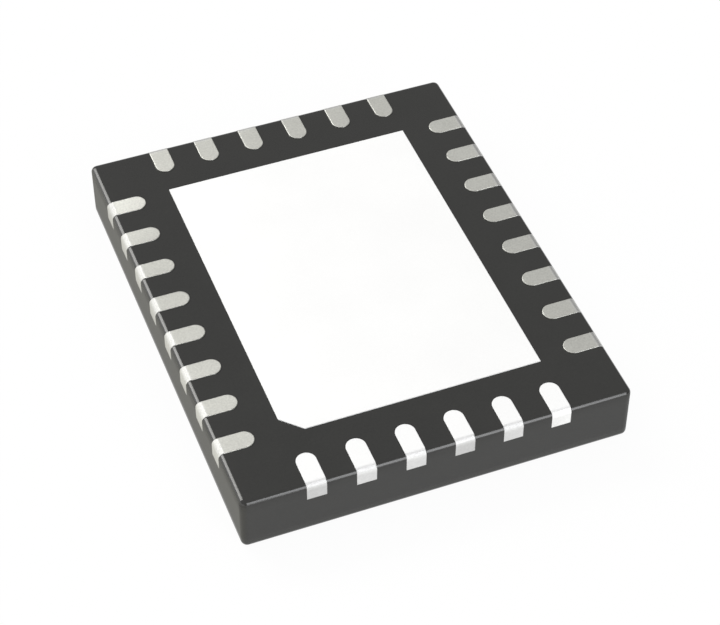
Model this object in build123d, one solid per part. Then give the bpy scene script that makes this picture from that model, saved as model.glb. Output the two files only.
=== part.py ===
"""Quad flat no-lead chip, 4 x 5 mm, lying with its solder side up.

The origin is the middle of the marked face, which the chip rests on. +X runs along the short
side, +Y along the long side and +Z towards the solder lands. The exposed pad's chamfered corner,
at -X -Y, marks lead 1. Seen from the solder side the leads count clockwise, up the -X side first.
All sizes are in millimetres.
"""

from build123d import *
import math
import os

# Outline of the moulding: the edge radius is that of the rim on the land side, and the corner
# radius that of the upright corners and the marked face's rim
mould_x = 4.00
mould_y = 5.00
overall_height = 0.65
mould_edge_radius = 0.05
mould_corner_radius = 0.065

# Lands and pad stand this far proud of the moulding
land_standoff = 0.01

# Leads: each is a full-thickness land with a thinner, wider bond finger behind it
lead_pitch = 0.50
corner_to_first_lead = 0.75
land_width = 0.20
land_length = 0.39
frame_thickness = 0.20
half_etch_thickness = 0.10
finger_overhang = 0.03
finger_setback = 0.10
finger_tip_chamfer = 0.06

# Die paddle: the exposed pad, its half-etched rim and its tie bars
land_to_pad_gap = 0.285
pad_chamfer = 0.20
paddle_rim = 0.05
finger_to_paddle_gap = 0.15
tie_bar_width = 0.10
tie_bar_cover = 0.12

# Die and the film that holds it to the paddle
die_x = 1.80
die_y = 2.60
die_thickness = 0.12
attach_thickness = 0.02
attach_margin = 0.06

# Bond wires: a squashed ball on the die, a short neck, a kink and a slope to the stitch
wire_diameter = 0.025
wire_flats = 6
ball_diameter = 0.060
ball_height = 0.015
loop_height = 0.09
bond_pad_edge_inset = 0.08
bond_pad_corner_inset = 0.25
stitch_inset = 0.12

# Lead 1 dot, a shallow round recess in the marked face
dot_diameter = 0.30
dot_depth = 0.02
dot_inset = 0.50

# Sizes that follow from those above
mould_thickness = overall_height - land_standoff
bend_radius = mould_edge_radius + land_standoff
finger_width = land_width + 2 * finger_overhang
finger_length = land_length + land_to_pad_gap - paddle_rim - finger_to_paddle_gap
pad_x = mould_x - 2 * (land_length + land_to_pad_gap)
pad_y = mould_y - 2 * (land_length + land_to_pad_gap)
bond_level = overall_height - frame_thickness
die_top_level = bond_level - attach_thickness
die_face_level = die_top_level - die_thickness
loop_level = die_face_level - loop_height


def lead_count(side):
    """How many leads a side holds at the pitch, clear of both corners."""
    return int((side - 2 * corner_to_first_lead) / lead_pitch + 1e-6) + 1


def row_offsets(count, pitch):
    """Distances of a row's members from the row's middle."""
    return [(index - (count - 1) / 2) * pitch for index in range(count)]


def strip(start, end, width):
    """A flat strip along X, centred on it."""
    return Pos(start, 0) * Rectangle(end - start, width, align=(Align.MIN, Align.CENTER))


def lead():
    """One lead: outer end at X = 0, running inwards along +X, bond face at Z = 0."""
    round_centre = land_length - land_width / 2
    outline = strip(0, round_centre, land_width) + Pos(round_centre, 0) * Circle(land_width / 2)
    land = extrude(outline, frame_thickness)
    outer_top_edge = land.edges().filter_by(Axis.Y).group_by(Axis.X)[0].sort_by(Axis.Z)[-1]
    land = fillet(outer_top_edge, bend_radius)
    finger_outline = strip(finger_setback, finger_length, finger_width)
    tip_corners = finger_outline.vertices().group_by(Axis.X)[-1]
    finger = extrude(chamfer(tip_corners, finger_tip_chamfer), half_etch_thickness)
    return land + finger


def lead_places():
    """Each lead's outer end and inward direction in degrees, in counting order from lead 1."""
    long_row = row_offsets(lead_count(mould_y), lead_pitch)
    short_row = row_offsets(lead_count(mould_x), lead_pitch)
    left = [(-mould_x / 2, y, 0) for y in long_row]
    back = [(x, mould_y / 2, -90) for x in short_row]
    right = [(mould_x / 2, -y, 180) for y in long_row]
    front = [(-x, -mould_y / 2, 90) for x in short_row]
    return left + back + right + front


def bond_pad_places():
    """Where each wire starts on the die face, in the same order as the leads."""
    long_count = lead_count(mould_y)
    short_count = lead_count(mould_x)
    long_pitch = (die_y - 2 * bond_pad_corner_inset) / max(long_count - 1, 1)
    short_pitch = (die_x - 2 * bond_pad_corner_inset) / max(short_count - 1, 1)
    pad_column = die_x / 2 - bond_pad_edge_inset
    pad_line = die_y / 2 - bond_pad_edge_inset
    left = [(-pad_column, y) for y in row_offsets(long_count, long_pitch)]
    back = [(x, pad_line) for x in row_offsets(short_count, short_pitch)]
    right = [(pad_column, -y) for y in row_offsets(long_count, long_pitch)]
    front = [(-x, -pad_line) for x in row_offsets(short_count, short_pitch)]
    return left + back + right + front


def pad_outline():
    """The exposed pad, a rectangle with the corner nearest lead 1 cut off."""
    outline = Rectangle(pad_x, pad_y)
    lead_one_corner = outline.vertices().group_by(Axis.Y)[0].sort_by(Axis.X)[0]
    return chamfer(lead_one_corner, pad_chamfer)


def tie_bar(side_x, side_y):
    """A half-etched bar from under the pad to just short of one corner of the moulding."""
    start = Vector(side_x * (pad_x / 2 - pad_chamfer), side_y * (pad_y / 2 - pad_chamfer))
    end = Vector(side_x * (mould_x / 2 - tie_bar_cover), side_y * (mould_y / 2 - tie_bar_cover))
    run = end - start
    bar = extrude(strip(0, run.length, tie_bar_width), half_etch_thickness)
    heading = math.degrees(math.atan2(run.Y, run.X))
    return Pos(start.X, start.Y, bond_level) * Rot(0, 0, heading) * bar


def die_paddle():
    """The exposed pad at full thickness, on a half-etched rim with a tie bar at each corner."""
    full = extrude(pad_outline(), frame_thickness)
    rim = extrude(offset(pad_outline(), paddle_rim, kind=Kind.INTERSECTION), half_etch_thickness)
    paddle = Pos(0, 0, bond_level) * (full + rim)
    for side_x in (-1, 1):
        for side_y in (-1, 1):
            paddle += tie_bar(side_x, side_y)
    return paddle


def die_attach():
    """The film between paddle and die, squeezed out a little past the die's edges."""
    film = Rectangle(die_x + 2 * attach_margin, die_y + 2 * attach_margin)
    return Pos(0, 0, die_top_level) * extrude(film, attach_thickness)


def silicon_die():
    """The die, active face towards the marked face."""
    return Pos(0, 0, die_face_level) * extrude(Rectangle(die_x, die_y), die_thickness)


def round_section(diameter):
    """A small round section, drawn with flats that stay within 2 micrometres of the round."""
    return RegularPolygon(diameter / 2, wire_flats)


def bond_wire(pad_place, lead_place):
    """One wire, from its ball on the die face to its stitch on the lead's bond finger."""
    outer_x, outer_y, inward = lead_place
    start = Vector(*pad_place)
    stitch = Vector(outer_x, outer_y) + Vector(finger_length - stitch_inset, 0).rotate(Axis.Z, inward)
    foot = Vector(start.X, start.Y, die_face_level)
    kink = Vector(start.X, start.Y, loop_level)
    landing = Vector(stitch.X, stitch.Y, bond_level)
    past_landing = landing + (landing - kink).normalized() * wire_diameter
    heading = stitch - start
    neck = Plane(foot, x_dir=(heading.X, heading.Y, 0), z_dir=(0, 0, -1))
    path = Polyline(foot, kink, past_landing)
    wire = sweep(neck * round_section(wire_diameter), path, transition=Transition.RIGHT)
    wire += extrude(neck * round_section(ball_diameter), ball_height)
    inside_finger = Pos(landing.X, landing.Y, landing.Z) * extrude(Circle(finger_width), frame_thickness)
    return wire - inside_finger


def lead_one_dot():
    """The recess in the marked face that shows which corner has lead 1."""
    place = Pos(-mould_x / 2 + dot_inset, -mould_y / 2 + dot_inset)
    return place * extrude(Circle(dot_diameter / 2), dot_depth)


def mould_body(held):
    """The moulding, cast round everything it holds, with softly rounded edges and corners."""
    body = extrude(Rectangle(mould_x, mould_y), mould_thickness)
    land_side_rim = body.faces().sort_by(Axis.Z)[-1].edges()
    body = fillet(body.edges() - land_side_rim, mould_corner_radius)
    body = fillet(body.faces().sort_by(Axis.Z)[-1].edges(), mould_edge_radius)
    return body - held - lead_one_dot()


pieces = {"die_paddle": die_paddle(), "die_attach": die_attach(), "silicon_die": silicon_die()}
one_lead = lead()
places = zip(lead_places(), bond_pad_places())
for number, (lead_place, pad_place) in enumerate(places, start=1):
    outer_x, outer_y, inward = lead_place
    pieces[f"lead_{number:02d}"] = Pos(outer_x, outer_y, bond_level) * Rot(0, 0, inward) * one_lead
    pieces[f"bond_wire_{number:02d}"] = bond_wire(pad_place, lead_place)
pieces["mould_body"] = mould_body(list(pieces.values()))

os.makedirs("parts", exist_ok=True)
for node, shape in pieces.items():
    export_step(shape, f"parts/{node}.step")
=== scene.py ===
import bpy
import math
from mathutils import Euler, Matrix, Vector

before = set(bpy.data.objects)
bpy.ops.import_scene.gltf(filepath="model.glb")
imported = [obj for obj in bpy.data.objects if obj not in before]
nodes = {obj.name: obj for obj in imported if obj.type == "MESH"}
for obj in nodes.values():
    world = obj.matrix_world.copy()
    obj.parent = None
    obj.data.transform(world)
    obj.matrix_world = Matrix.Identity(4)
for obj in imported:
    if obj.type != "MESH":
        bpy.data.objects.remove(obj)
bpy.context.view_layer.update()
print("frame loaded:", len(nodes), "pieces")

# lengths below are given in millimetres or micrometres, and angles in degrees
mm = 0.001
micron = 0.000001


# Camera

cameraView = {
    "azimuth": -20.9,           # from the near left
    "elevation": 45.85,
    "distance": 22.12 * mm,     # from the point it looks at
    "aim": (-0.089 * mm, -0.581 * mm, 0.65 * mm),
    "lens": 110.85,             # on a sensor 36 mm wide
    "sensor": 36.0,
    "nearest": 1 * mm,
    "farthest": 10.0,
}


def directionTo(azimuth, elevation):
    # from the chip towards the camera or a lamp
    a, e = math.radians(azimuth), math.radians(elevation)
    return Vector((math.sin(a) * math.cos(e), -math.cos(a) * math.cos(e), math.sin(e)))


def turnedTo(azimuth, elevation):
    # the turn of a camera or lamp that looks at the chip from there
    return Euler((math.radians(90 - elevation), 0, math.radians(azimuth)))


def addCamera(view):
    camera = bpy.data.objects.new("camera", bpy.data.cameras.new("camera"))
    bpy.context.scene.collection.objects.link(camera)
    camera.data.lens = view["lens"]
    camera.data.sensor_width = view["sensor"]
    camera.data.clip_start = view["nearest"]
    camera.data.clip_end = view["farthest"]
    camera.location = Vector(view["aim"]) + directionTo(view["azimuth"], view["elevation"]) * view["distance"]
    camera.rotation_euler = turnedTo(view["azimuth"], view["elevation"])
    bpy.context.scene.camera = camera


addCamera(cameraView)
print("camera placed")


# Shader building: a wrapped socket does maths, and one method adds every other node

class Socket:
    def __init__(self, recipe, output):
        self.recipe = recipe
        self.output = output

    def maths(self, operation, first, second):
        return self.recipe.add("ShaderNodeMath", {"operation": operation}, {0: first, 1: second})

    def __add__(self, other):
        return self.maths("ADD", self, other)

    __radd__ = __add__

    def __sub__(self, other):
        return self.maths("SUBTRACT", self, other)

    def __rsub__(self, other):
        return self.maths("SUBTRACT", other, self)

    def __mul__(self, other):
        return self.maths("MULTIPLY", self, other)

    __rmul__ = __mul__

    def __truediv__(self, other):
        return self.maths("DIVIDE", self, other)

    def __rtruediv__(self, other):
        return self.maths("DIVIDE", other, self)


class Recipe:
    # a material or the world, and its nodes
    def __init__(self, tree):
        self.tree = tree
        self.tree.nodes.clear()

    def add(self, kind, settings=None, inputs=None, out=0):
        node = self.tree.nodes.new(kind)
        for name, value in (settings or {}).items():
            if name == "stops":
                self.setStops(node.color_ramp, value)
            else:
                setattr(node, name, value)
        for name, value in (inputs or {}).items():
            if isinstance(value, Socket):
                self.tree.links.new(value.output, node.inputs[name])
            else:
                node.inputs[name].default_value = value
        return Socket(self, node.outputs[out]) if len(node.outputs) else node

    def setStops(self, ramp, stops):
        while len(ramp.elements) < len(stops):
            ramp.elements.new(0.5)
        for element, (position, colour) in zip(ramp.elements, stops):
            element.position = position
            element.color = colour

    def place(self):
        return self.add("ShaderNodeTexCoord", out="Object")

    def grain(self, size, detail=2.0, roughness=0.5, seedPlace=(0, 0, 0)):
        # noise about 0.5, with lumps of the given size
        moved = self.add("ShaderNodeMapping", {}, {"Vector": self.place(), "Location": seedPlace})
        settings = {"noise_dimensions": "3D"}
        inputs = {"Vector": moved, "Scale": 1 / size, "Detail": detail, "Roughness": roughness}
        return self.add("ShaderNodeTexNoise", settings, inputs, out="Fac")

    def blend(self, share, first, second):
        # 6, 7 and 2 are the colour sockets of a Mix node
        inputs = {0: share, 6: first, 7: second}
        return self.add("ShaderNodeMix", {"data_type": "RGBA"}, inputs, out=2)

    def scaled(self, colour, factor):
        return self.add("ShaderNodeVectorMath", {"operation": "SCALE"}, {0: colour, "Scale": factor})

    def spot(self, centre, reach):
        # 1 at a point, fading to 0 at the reach
        inputs = {"Vector": self.place(), "Location": [-c / reach for c in centre], "Scale": [1 / reach] * 3}
        moved = self.add("ShaderNodeMapping", {}, inputs)
        return self.add("ShaderNodeTexGradient", {"gradient_type": "SPHERICAL"}, {"Vector": moved}, out="Fac")

    def axes(self):
        place = self.place()
        return [self.add("ShaderNodeSeparateXYZ", {}, {"Vector": place}, out=axis) for axis in "XYZ"]

    def unsigned(self, value):
        return value.maths("ABSOLUTE", value, 0)

    def larger(self, first, second):
        return first.maths("MAXIMUM", first, second)

    def limited(self, value):
        return self.add("ShaderNodeClamp", {}, {"Value": value})

    def softEdges(self, radius, samples=8):
        # the surface's direction with its edges worn round
        return self.add("ShaderNodeBevel", {"samples": samples}, {"Radius": radius})

    def bump(self, height, depth, onto=None):
        inputs = {"Height": height, "Distance": depth}
        if onto:
            inputs["Normal"] = onto
        return self.add("ShaderNodeBump", {}, inputs)

    def finish(self, inputs):
        shader = self.add("ShaderNodeBsdfPrincipled", {}, inputs)
        self.add("ShaderNodeOutputMaterial", {}, {"Surface": shader})


def newMaterial(name):
    material = bpy.data.materials.new(name)
    material.use_nodes = True
    return material, Recipe(material.node_tree)


def grey(level, warm=0.0):
    # a grey with a little yellow in it
    return (level, level, level * (1 - warm), 1)


# Moulding compound: black epoxy full of fine silica

compound = {
    "dark": grey(0.0165, 0.08),
    "pale": grey(0.0255, 0.08),
    "fillerSize": 19 * micron, "fillerShare": 1.0,
    "mottleSize": 420 * micron, "mottleShare": 0.6,
    "height": 0.65 * mm,                 # which the two lists by height are spread over
    # by height in mm: smooth faces, rims nearly so, rougher walls
    "roughness": [(0.002, 0.16), (0.06, 0.18), (0.13, 0.48), (0.50, 0.48), (0.595, 0.57), (0.614, 0.20),
                  (0.636, 0.19), (0.6395, 0.155)],
    "roughnessSpread": 0.01,
    # by height in mm: a little more gloss on the land side's rims
    "coat": [(0.600, 0.0), (0.612, 0.14), (0.636, 0.14), (0.6395, 0.0)],
    "coatRoughness": 0.19,
    "specular": 0.5,
    "bumpDepth": 0.015 * micron,
}


def byHeight(r, c, levels):
    # a value that changes with the height above the marked face
    stops = [(height * mm / c["height"], grey(level)) for height, level in levels]
    return r.add("ShaderNodeValToRGB", {"stops": stops}, {"Fac": r.axes()[2] / c["height"]})


def mouldingMaterial(c):
    material, r = newMaterial("mouldingCompound")
    filler = r.grain(c["fillerSize"], detail=3.0, roughness=0.6)
    mottle = r.grain(c["mottleSize"])
    share = r.limited(0.5 + c["fillerShare"] * (filler - 0.5) + c["mottleShare"] * (mottle - 0.5))
    r.finish({
        "Base Color": r.blend(share, c["dark"], c["pale"]),
        "Roughness": byHeight(r, c, c["roughness"]) + c["roughnessSpread"] * (filler - 0.5),
        "Specular IOR Level": c["specular"],
        "Coat Weight": byHeight(r, c, c["coat"]),
        "Coat Roughness": c["coatRoughness"],
        "Normal": r.bump(filler, c["bumpDepth"]),
    })
    return material


# Tin plate: satin on three rows, pale on the pad and the front row, two of whose ends are duller

# how far out and up the land face goes, 0.02 mm short of the bend
landFace = (1.92 * mm, 2.42 * mm, 0.65 * mm)

satinTin = {
    "name": "satinTinPlate",
    "faceDark": grey(0.54, 0.065), "facePale": grey(0.662, 0.065),
    "endDark": grey(0.626, 0.025), "endPale": grey(0.744, 0.025),
    "faceMetal": 1.0,
    "faceRoughness": 0.42,
    "endRoughness": 0.60,
    # where the colour and the roughness change from the face's to the end's
    "bendFrom": 0.0 * mm, "bendTo": 0.03 * mm,
    "roughFrom": 0.02 * mm, "roughTo": 0.05 * mm,
    # the end's colour by the way round in mm, painted light and shade: a painted highlight over the bend and
    # below it, and painted shade between them and towards its foot
    "paintedLightAndShadeReach": 0.28 * mm,
    "paintedLightAndShade": [(0.0, 0.90), (0.01, 1.0), (0.02, 0.92), (0.031, 0.76), (0.043, 0.78), (0.056, 0.91),
                (0.07, 0.98), (0.10, 1.0), (0.14, 0.91), (0.28, 0.79)],
    "grainSize": 19 * micron, "grainShare": 1.8,
    "mottleSize": 260 * micron, "mottleShare": 0.4, "mottlePlace": (0.3, 0.1, 0.7),
    "lotSize": 700 * micron, "lotShare": 0.25, "lotPlace": (0.27, 0.36, 0.58),
    # paler faces near two corners of the chip, with a darker end at the far left one, and darker faces and
    # ends along the left side
    "patches": [
        {"place": (-1.85 * mm, 1.85 * mm, 0.65 * mm), "reach": 0.7 * mm, "faceGain": 0.27, "endGain": -0.10},
        {"place": (-1.85 * mm, 0.40 * mm, 0.60 * mm), "reach": 1.6 * mm, "faceGain": -0.12, "endGain": -0.07},
        {"place": (1.90 * mm, 1.45 * mm, 0.65 * mm), "reach": 1.1 * mm, "faceGain": 0.07, "endGain": 0.0},
    ],
    "roughnessSpread": 0.06,
    "bumpDepth": 0.3 * micron,
    "edgeRadius": 10 * micron,
}

paleTin = dict(
    satinTin, name="paleTinPlate",
    faceDark=grey(0.914, 0.003), facePale=grey(0.95, 0.003),
    endDark=grey(0.72, 0.01), endPale=grey(0.895, 0.01),
    # painted highlight and shade along the front row's ends, by the way round in mm
    paintedLightAndShade=[(0.05, 0.78), (0.07, 0.75), (0.084, 0.66), (0.098, 0.68), (0.112, 0.84), (0.125, 1.0),
             (0.136, 1.0), (0.147, 0.95), (0.167, 0.89), (0.28, 0.88)],
    faceMetal=0.1, faceRoughness=0.5, endRoughness=0.50, bendFrom=0.032 * mm, bendTo=0.082 * mm,
    grainShare=0.9, mottleShare=0.3, lotShare=0.8,
    patches=[{"place": (1.3 * mm, -2.5 * mm, 0.5 * mm), "reach": 0.5 * mm, "faceGain": 0.0, "endGain": 0.28}],
)

dullEndTin = dict(
    paleTin, name="dullEndTinPlate",
    endDark=grey(0.635, 0.01), endPale=grey(0.79, 0.01),
    # painted highlight and shade along these ends, a little weaker
    paintedLightAndShade=[(0.05, 0.85), (0.07, 0.83), (0.084, 0.78), (0.098, 0.80), (0.112, 0.97), (0.136, 1.0),
             (0.167, 0.89), (0.28, 0.88)],
)


def tinMaterial(t):
    # the land face has one finish and the outer end another, which meet over the bend
    material, r = newMaterial(t["name"])
    grains = r.grain(t["grainSize"], detail=1.5)
    mottle = r.grain(t["mottleSize"], seedPlace=t["mottlePlace"])
    lot = r.grain(t["lotSize"], detail=0.0, seedPlace=t["lotPlace"])
    x, y, z = r.axes()
    outward = r.larger(r.unsigned(x) - landFace[0], r.unsigned(y) - landFace[1])
    turned = r.larger(outward, 0) + (landFace[2] - z)
    onEnd = r.limited((turned - t["bendFrom"]) / (t["bendTo"] - t["bendFrom"]))
    spread = t["grainShare"] * (grains - 0.5) + t["mottleShare"] * (mottle - 0.5)
    share = r.limited(0.5 + spread + t["lotShare"] * (lot - 0.5))
    faceGain, endGain = 1, 1
    for patch in t["patches"]:
        near = r.spot(patch["place"], patch["reach"])
        faceGain = faceGain + patch["faceGain"] * near
        endGain = endGain + patch["endGain"] * near
    faceColour = r.scaled(r.blend(share, t["faceDark"], t["facePale"]), faceGain)
    # painted light and shade along the end: brighter where highlights fall, darker in the shaded band and
    # towards the foot
    stops = [(wayRound * mm / t["paintedLightAndShadeReach"], grey(level)) for wayRound, level in t["paintedLightAndShade"]]
    paintedLightAndShade = r.add("ShaderNodeValToRGB", {"stops": stops}, {"Fac": turned / t["paintedLightAndShadeReach"]})
    endColour = r.scaled(r.blend(share, t["endDark"], t["endPale"]), endGain * paintedLightAndShade)
    onRough = r.limited((turned - t["roughFrom"]) / (t["roughTo"] - t["roughFrom"]))
    roughness = t["faceRoughness"] + (t["endRoughness"] - t["faceRoughness"]) * onRough
    r.finish({
        "Base Color": r.blend(onEnd, faceColour, endColour),
        "Metallic": t["faceMetal"] + (1 - t["faceMetal"]) * onEnd,
        "Roughness": roughness + t["roughnessSpread"] * (mottle - 0.5),
        "Normal": r.bump(grains, t["bumpDepth"], r.softEdges(t["edgeRadius"])),
    })
    return material


# Inside: die, die attach and bond wires

silicon = {
    "dark": (0.035, 0.038, 0.055, 1), "pale": (0.11, 0.12, 0.16, 1),
    "cellSize": 160 * micron, "cellShare": 0.6,
    "hazeSize": 40 * micron, "hazeShare": 0.4,
    "roughness": 0.18, "roughnessSpread": 0.2,
    "coat": 0.3,
}


def siliconMaterial(s):
    material, r = newMaterial("groundSilicon")
    cells = r.add("ShaderNodeTexVoronoi", {"distance": "CHEBYCHEV", "feature": "F1"},
                  {"Vector": r.place(), "Scale": 1 / s["cellSize"]}, out="Distance")
    haze = r.grain(s["hazeSize"])
    share = s["cellShare"] * cells + s["hazeShare"] * haze
    r.finish({
        "Base Color": r.blend(share, s["dark"], s["pale"]),
        "Roughness": s["roughness"] + s["roughnessSpread"] * haze,
        "Coat Weight": s["coat"],
    })
    return material


attach = {
    "dark": grey(0.34, 0.05), "pale": grey(0.52, 0.05),
    "flakeSize": 14 * micron,
    "metal": 0.35, "metalSpread": 0.4,
    "roughness": 0.62, "roughnessSpread": 0.2,
    "bumpDepth": 2 * micron,
}


def attachMaterial(a):
    material, r = newMaterial("silverEpoxy")
    flakes = r.grain(a["flakeSize"], detail=4.0, roughness=0.7)
    r.finish({
        "Base Color": r.blend(flakes, a["dark"], a["pale"]),
        "Metallic": a["metal"] + a["metalSpread"] * flakes,
        "Roughness": a["roughness"] - a["roughnessSpread"] * flakes,
        "Normal": r.bump(flakes, a["bumpDepth"]),
    })
    return material


gold = {
    "dark": (0.74, 0.46, 0.13, 1), "pale": (0.90, 0.62, 0.23, 1),
    "lineSize": 6 * micron,
    "roughness": 0.16, "roughnessSpread": 0.14,
}


def goldMaterial(g):
    material, r = newMaterial("drawnGold")
    lines = r.grain(g["lineSize"], roughness=0.6)
    r.finish({
        "Base Color": r.blend(lines, g["dark"], g["pale"]),
        "Metallic": 1.0,
        "Roughness": g["roughness"] + g["roughnessSpread"] * lines,
    })
    return material


def dress(names, material):
    for name in names:
        for materialSlot in nodes[name].material_slots:
            materialSlot.material = material


dullEndLeads = ["lead_25", "lead_28"]
frontLeads = [f"lead_{number:02d}" for number in (23, 24, 26, 27)]
otherLeads = [f"lead_{number:02d}" for number in range(1, 23)]
wires = [name for name in nodes if name.startswith("bond_wire")]

dress(["mould_body"], mouldingMaterial(compound))
dress(otherLeads, tinMaterial(satinTin))
dress(frontLeads + ["die_paddle"], tinMaterial(paleTin))
dress(dullEndLeads, tinMaterial(dullEndTin))
dress(["silicon_die"], siliconMaterial(silicon))
dress(["die_attach"], attachMaterial(attach))
dress(wires, goldMaterial(gold))
print("finishes on", len(otherLeads + frontLeads + dullEndLeads), "leads,", len(wires), "wires and the rest")


# Floor, world and lamps

studio = {
    "floorRadius": 400 * mm,
    "floorCorners": 96,
    "floorSink": 2 * micron,
    "floorColour": grey(0.95),
    "floorWhite": 0.95,      # share of plain white in the floor that camera and gloss see
    "leftTint": (1.0, 0.99, 0.90, 1),    # what gloss sees of the floor on the left
    "leftEdge": 2.0 * mm, "leftFade": 0.1 * mm,
    "skyBack": 0.625, "skyFront": 0.58,  # strength behind and in front of the chip
    # the sky's grey by the direction's Z
    "skyStops": [(0.0, grey(1.0)), (0.05, grey(0.95)), (0.14, grey(0.75)), (0.45, grey(0.9)),
                 (0.68, grey(0.9)), (0.78, grey(1.02))],
    "sideFrom": 0.32, "sideFade": 0.25,  # how far round to a side, as the direction's X
    "lowTop": 0.58, "lowFade": 0.25,     # how low, as the direction's Z
    "leftGain": 1.9,
    "rightLoss": 0.45,
}


def addFloor(s):
    bpy.ops.object.select_all(action="DESELECT")
    bpy.ops.mesh.primitive_circle_add(vertices=s["floorCorners"], radius=s["floorRadius"],
                                      fill_type="NGON", location=(0, 0, -s["floorSink"]))
    floor = bpy.context.object
    floor.name = "floor"
    material, r = newMaterial("studioFloor")
    camera = r.add("ShaderNodeLightPath", out="Is Camera Ray")
    glossy = r.add("ShaderNodeLightPath", out="Is Glossy Ray")
    transmitted = r.add("ShaderNodeLightPath", out="Is Transmission Ray")
    matt = r.add("ShaderNodeBsdfDiffuse", {}, {"Color": s["floorColour"]})
    onLeft = r.limited((0 - r.axes()[0] - s["leftEdge"]) / s["leftFade"])
    tint = r.blend(onLeft * glossy, grey(1), s["leftTint"])
    white = r.add("ShaderNodeEmission", {}, {"Color": tint, "Strength": 1.0})
    seen = (camera + glossy + transmitted) * s["floorWhite"]
    shader = r.add("ShaderNodeMixShader", {}, {0: seen, 1: matt, 2: white})
    r.add("ShaderNodeOutputMaterial", {}, {"Surface": shader})
    floor.data.materials.append(material)


def addWorld(s):
    # a plain sky with one dimmer band low down, brighter low on the left than on the right
    world = bpy.data.worlds.new("studio")
    world.use_nodes = True
    bpy.context.scene.world = world
    r = Recipe(world.node_tree)
    direction = r.add("ShaderNodeTexCoord", out="Generated")
    across, back, height = [r.add("ShaderNodeSeparateXYZ", {}, {"Vector": direction}, out=axis)
                            for axis in "XYZ"]
    band = r.add("ShaderNodeValToRGB", {"stops": s["skyStops"]}, {"Fac": height})
    low = r.limited((s["lowTop"] - height) / s["lowFade"])
    left = r.limited((0 - across - s["sideFrom"]) / s["sideFade"])
    right = r.limited((across - s["sideFrom"]) / s["sideFade"])
    sides = 1 + low * (s["leftGain"] * left - s["rightLoss"] * right)
    level = (s["skyFront"] + (s["skyBack"] - s["skyFront"]) * (0.5 + 0.5 * back)) * sides
    light = r.add("ShaderNodeBackground", {}, {"Color": band, "Strength": level})
    r.add("ShaderNodeOutputWorld", {}, {"Surface": light})


lamps = {
    "backLeft": {"azimuth": 206.5, "elevation": 42.0, "roll": -36, "distance": 120 * mm,
                 "size": (86 * mm, 35 * mm), "radiance": 6.9, "colour": (1.0, 0.993, 0.965)},
    "frontRight": {"azimuth": 17.5, "elevation": 25.0, "roll": 90, "distance": 120 * mm,
                   "size": (108 * mm, 36 * mm), "radiance": 5.4, "colour": (0.97, 0.98, 1.0)},
    # a small one beside the first, which the near end of the left rim mirrors
    "rimLeft": {"azimuth": 212.5, "elevation": 43.0, "roll": -36, "distance": 120 * mm,
                "size": (28 * mm, 14 * mm), "radiance": 2.0, "colour": (1.0, 0.993, 0.965)},
}


def addLamp(name, lamp):
    # a rectangle of plain light, aimed at the chip
    data = bpy.data.lights.new(name, "AREA")
    data.shape = "RECTANGLE"
    data.size, data.size_y = lamp["size"]
    data.energy = lamp["radiance"] * math.pi * data.size * data.size_y
    data.color = lamp["colour"]
    thing = bpy.data.objects.new(name, data)
    bpy.context.scene.collection.objects.link(thing)
    thing.location = directionTo(lamp["azimuth"], lamp["elevation"]) * lamp["distance"]
    aimed = turnedTo(lamp["azimuth"], lamp["elevation"]).to_matrix()
    rolled = aimed @ Matrix.Rotation(math.radians(lamp["roll"]), 3, "Z")
    thing.rotation_euler = rolled.to_euler()
    thing.visible_camera = False


addFloor(studio)
addWorld(studio)
for lampName, lampSettings in lamps.items():
    addLamp(lampName, lampSettings)
bpy.context.scene.view_settings.view_transform = "Standard"
print("floor, world and", len(lamps), "lamps ready")
